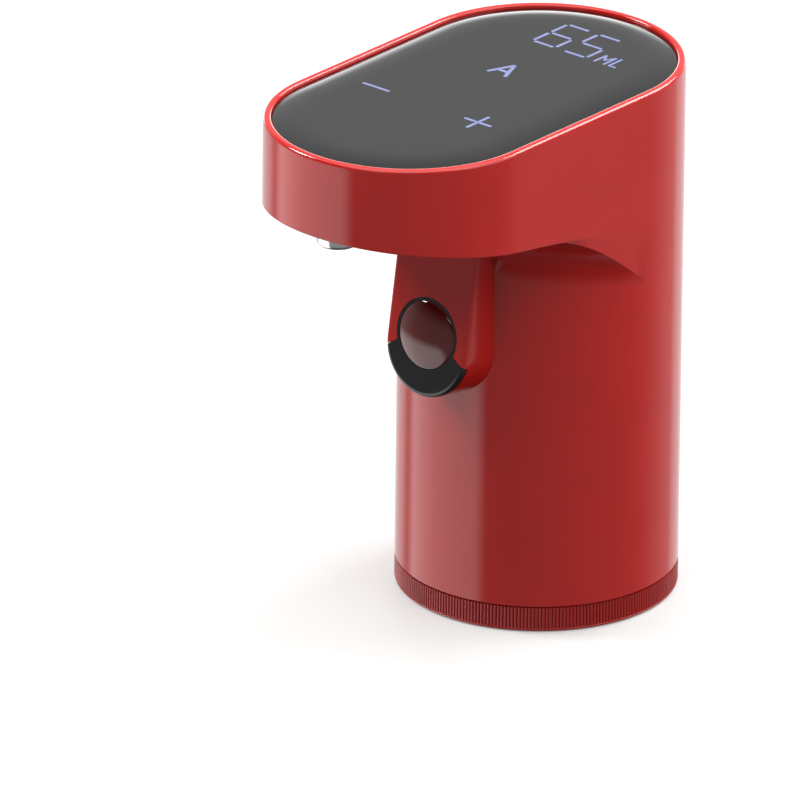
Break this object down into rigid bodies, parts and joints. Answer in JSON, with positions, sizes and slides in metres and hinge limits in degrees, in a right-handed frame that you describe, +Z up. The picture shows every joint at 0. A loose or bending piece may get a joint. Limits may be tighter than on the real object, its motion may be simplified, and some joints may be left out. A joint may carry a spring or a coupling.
{
  "type": "electric wine dispenser",
  "caption": "Electric dispenser that plugs into a wine bottle neck: upright column, overhanging spout head with a touch panel, glass sensor, turning base ring and an air pump inside.",
  "frame": {"origin": "on the bottle axis, level with the underside of the base ring", "axes": "+Z up along the bottle axis, the spout points along -Y, +X to the side"},
  "size_m": [0.06, 0.1043, 0.1187],
  "materials": {
    "red_gloss": "high-gloss red moulded ABS",
    "ring_red": "red moulded ABS with fine vertical ribs",
    "panel_glass": "black back-printed touch glass with a rolled edge",
    "sensor_glass": "dark maroon infrared window, polished dome",
    "gloss_black": "gloss black trim",
    "black_plastic": "satin black moulded ABS",
    "foam": "black foam tape",
    "black_rubber": "black nitrile rubber",
    "silicone": "food-grade translucent white silicone",
    "white_plastic": "natural white acetal",
    "clear_plastic": "clear polycarbonate",
    "spout_steel": "polished stainless steel",
    "clear_tube": "clear silicone hose",
    "board": "green glass-epoxy circuit board",
    "steel": "zinc-plated steel",
    "magnet": "ferrite",
    "copper": "steel shaft with a copper-wound armature",
    "cell_wrap": "shrink-wrapped lithium-ion cell",
    "lead": "insulated wire",
    "ribbon": "flat flexible cable"
  },
  "bodies": {
    "body": {"body_shell": "red_gloss", "touch_panel": "panel_glass", "panel_gasket": "foam", "panel_frame": "black_plastic", "display_light_guide": "white_plastic", "touch_pad_minus": "foam", "touch_pad_mode": "foam", "touch_pad_plus": "foam", "touch_board": "board", "board_screw_1": "steel", "board_screw_2": "steel", "board_screw_3": "steel", "board_screw_4": "steel", "sensor_lens": "sensor_glass", "sensor_bezel": "gloss_black", "sensor_board": "board", "ir_emitter": "clear_plastic", "ir_receiver": "gloss_black", "bayonet_seat": "black_plastic", "neck_socket": "black_plastic", "neck_grip": "silicone", "base_screw_1": "steel", "base_screw_2": "steel", "base_screw_3": "steel", "base_screw_4": "steel", "manifold": "white_plastic", "chassis": "black_plastic", "battery_cell": "cell_wrap", "main_board": "board", "charge_port": "steel", "motor_can": "steel", "motor_end_cap": "white_plastic", "motor_magnet_1": "magnet", "motor_magnet_2": "magnet", "pump_body": "white_plastic", "pump_diaphragm": "black_rubber", "pump_head": "white_plastic", "pump_screw_1": "steel", "pump_screw_2": "steel", "nozzle_elbow": "black_plastic", "wine_tube": "clear_tube", "air_tube": "clear_tube", "valve_tube": "clear_tube", "release_valve": "black_plastic", "valve_spring": "steel", "panel_ribbon": "ribbon", "cell_lead": "lead"},
    "lock_ring": {"base_ring": "ring_red"},
    "stopper_unit": {"bottle_stopper": "silicone", "stopper_core": "white_plastic", "stem_seal": "black_rubber"},
    "nozzle_unit": {"nozzle": "spout_steel", "nozzle_seal": "black_rubber"},
    "rotor": {"motor_rotor": "copper", "pump_eccentric": "white_plastic"},
    "valve_pin": {"valve_plunger": "steel"}
  },
  "joints": [
    {"name": "ring_turn", "type": "hinge", "parent": "body", "child": "lock_ring", "pos_m": [0, 0, 0], "axis": [0, 0, 1], "range_deg": [0, 30]},
    {"name": "stopper_pull", "type": "slide", "parent": "body", "child": "stopper_unit", "axis": [0, 0, -1], "range_m": [0, 0.052]},
    {"name": "nozzle_pull", "type": "slide", "parent": "body", "child": "nozzle_unit", "axis": [0, 0, -1], "range_m": [0, 0.01]},
    {"name": "pump_spin", "type": "hinge", "parent": "body", "child": "rotor", "pos_m": [-0.0145, 0.003, 0.06], "axis": [0, 0, 1], "continuous": true},
    {"name": "valve_slide", "type": "slide", "parent": "body", "child": "valve_pin", "axis": [0, 1, 0], "range_m": [0, 0.0012], "stiffness_N_per_m": 150}
  ]
}
